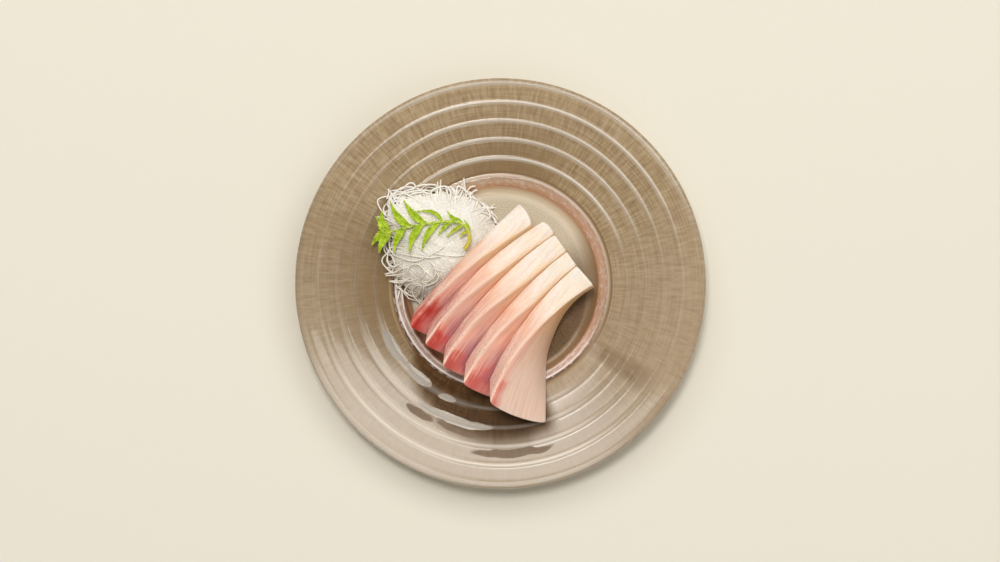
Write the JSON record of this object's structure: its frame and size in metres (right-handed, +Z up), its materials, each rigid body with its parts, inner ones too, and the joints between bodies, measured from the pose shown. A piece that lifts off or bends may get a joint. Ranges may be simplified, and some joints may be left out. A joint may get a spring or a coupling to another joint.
{
  "type": "sashimi plate",
  "caption": "Shallow ribbed dish of smoky glass with leaning slices of pale raw fish, a heap of shredded daikon radish and a green leaf sprig.",
  "frame": {"origin": "middle of the dish, on the surface that its foot ring stands on", "axes": "+Z up; the slices' heads point towards +X and +Y, and the heap and sprig lie towards -X and +Y"},
  "size_m": [0.21, 0.21, 0.0392],
  "materials": {
    "smoky_glass": "pressed grey-brown glass, polished ridges with fine radial lines and a frosted well",
    "fish_flesh": "moist raw fish, cream at the head end, red along the skin side at the toe",
    "daikon": "moist white translucent radish threads",
    "green_leaf": "fresh yellow-green leaf, yellower at the stem's base"
  },
  "bodies": {
    "root": {"dish": "smoky_glass", "fish_slice_1": "fish_flesh", "fish_slice_2": "fish_flesh", "fish_slice_3": "fish_flesh", "fish_slice_4": "fish_flesh", "fish_slice_5": "fish_flesh", "daikon_heap": "daikon", "leaf_sprig": "green_leaf"}
  },
  "joints": []
}
